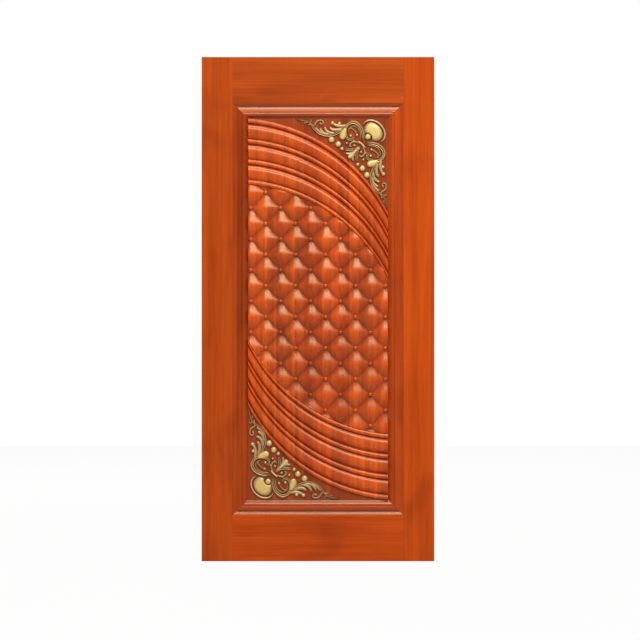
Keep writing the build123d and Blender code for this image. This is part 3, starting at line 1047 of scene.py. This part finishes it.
# %% [markdown]
# On the diagonal, where the arms meet, sit the fan with its rim and its berry, the tie across
# the stems, a short stem under it, and the bud between the petals. The fan is pressed flatter
# towards the corner and spread beside it, and its rim follows the same shape.

# %% Fan, rim and tie
fan_place = (57, 52)
fan_radius = 38
fan_notch = (82, 76, 14.5)
fan_berry_place = (79, 72)
rim_radius = 45
rim_end = 107
fan_towards, fan_beside = 0.86, 1.12


def rim_point(angle):
    """A point of the fan's rim. The fan is flatter towards the corner than beside it."""
    towards = rim_radius * fan_towards * math.cos(angle) / math.sqrt(2)
    beside = rim_radius * fan_beside * math.sin(angle) / math.sqrt(2)
    return fan_place[0] - towards + beside, fan_place[1] - towards - beside


def flatten_fan(fan):
    """Press the round fan flatter towards the corner and wider beside it."""
    fan_x, fan_z = from_corner(*fan_place)
    for vertex in fan.data.vertices:
        right, up = vertex.co.x - fan_x, vertex.co.z - fan_z
        towards, beside = fan_towards * (right + up) / 2, fan_beside * (right - up) / 2
        vertex.co.x += towards + beside - right
        vertex.co.z += towards - beside - up


def make_middle():
    """The strips round and on the diagonal: the rim, the tie, the stem and the bud."""
    rim_line = [rim_point(angle) for angle in np.radians(np.linspace(-rim_end, rim_end, 9))]
    middle = join_pieces("middle", [
        carve_strip(rim_line, (5, 7, 7, 7, 5), 8),
        carve_strip(((117, 89), (106, 98), (98, 106), (89, 117)), (4, 7, 7, 4), 9),
        carve_strip(((106, 106), (116, 116), (126, 126)), (5, 7, 5), 7.5, 1),
        carve_strip(((122, 122), (134, 134), (146, 146), (156, 156)), (5, 10, 16, 12), 9.5),
    ])
    close_back(middle, -ornament_floor)
    return middle


middle = make_middle()
fan = set_berry(fan_place, fan_radius, 9, fullness=4, notch=fan_notch)
flatten_fan(fan)
fan_berry = set_berry(fan_berry_place, 12.5, 9.4, fullness=3)
print("fan", len(fan.data.polygons), "faces")

# %% [markdown]
# The gilding is old: pale gold on what stands out, and a dark brown glaze that was wiped off
# the high places and stayed in the hollows. So the tone follows the height over the ground,
# and the dark of the low places is partly that glaze and partly painted shade. A little noise
# is added, because no hand wipes evenly. It is only partly metal, as aged gold paint is, and a
# fine bump breaks up its gloss.

# %% Old gold and painted shade
gold_height = 9 * MM
# Glaze and painted shade: the tones go from nearly black at the ground to pale gold on top.
gold_glaze_and_shade_tones = ((0.20, (0.040, 0.013, 0.004)), (0.46, (0.15, 0.070, 0.025)),
              (0.80, (0.40, 0.240, 0.100)), (0.95, (0.62, 0.44, 0.13)))
wear_fineness = 170.0
wear_share = 0.16


def gilded(name):
    """Old gold whose tone follows the height over the ground, darker low down with glaze and
    painted shade.
    """
    material = bpy.data.materials.new(name)
    material.use_nodes = True
    tree = material.node_tree
    shader = tree.nodes["Principled BSDF"]
    place = link_nodes(tree, "ShaderNodeTexCoord").outputs["Object"]
    split = link_nodes(tree, "ShaderNodeSeparateXYZ", inputs={"Vector": place})
    height = link_nodes(tree, "ShaderNodeMapRange",
                        inputs={"Value": split.outputs["Y"], "From Min": -ornament_floor,
                                "From Max": -ornament_floor - gold_height}).outputs[0]
    wear = link_nodes(tree, "ShaderNodeTexNoise",
                      inputs={"Vector": place, "Scale": wear_fineness, "Detail": 3.0})
    uneven = calculate(tree, "MULTIPLY_ADD", wear.outputs["Fac"], wear_share, -wear_share / 2)
    base = colour_ramp(tree, calculate(tree, "ADD", height, uneven), gold_glaze_and_shade_tones)
    tree.links.new(base, shader.inputs["Base Color"])
    shader.inputs["Metallic"].default_value = 0.25
    shader.inputs["Roughness"].default_value = 0.36
    bump = link_nodes(tree, "ShaderNodeBump",
                      inputs={"Height": wear.outputs["Fac"], "Strength": 0.35,
                              "Distance": 0.6 * MM})
    tree.links.new(bump.outputs[0], shader.inputs["Normal"])
    return material


gold = gilded("old_gold")
print("gilding", gold.name)

# %% [markdown]
# The two ornaments are alike, and the lower one is the upper one turned half a turn about the
# middle of the panel. So it is made once, and its copy is turned in its mesh.

# %% Both ornaments
upper_ornament = join_pieces("ornament", [*arms, middle, fan, fan_berry])
upper_ornament.data.materials.clear()
upper_ornament.data.materials.append(gold)
smooth(upper_ornament, degrees_limit=50)
to_middle = Matrix.Translation((0, 0, -middle_z))
half_turn = Matrix.Rotation(math.pi, 4, "Y")
lower_ornament = copy_piece(upper_ornament, to_middle.inverted() @ half_turn @ to_middle)
for piece, corner in ((upper_ornament, "upper"), (lower_ornament, "lower")):
    piece.name = f"{corner}_scrollwork"
    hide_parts(f"{corner}_corner_ornament")
    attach(piece, "root")
    print(piece.name, len(piece.data.polygons), "faces")
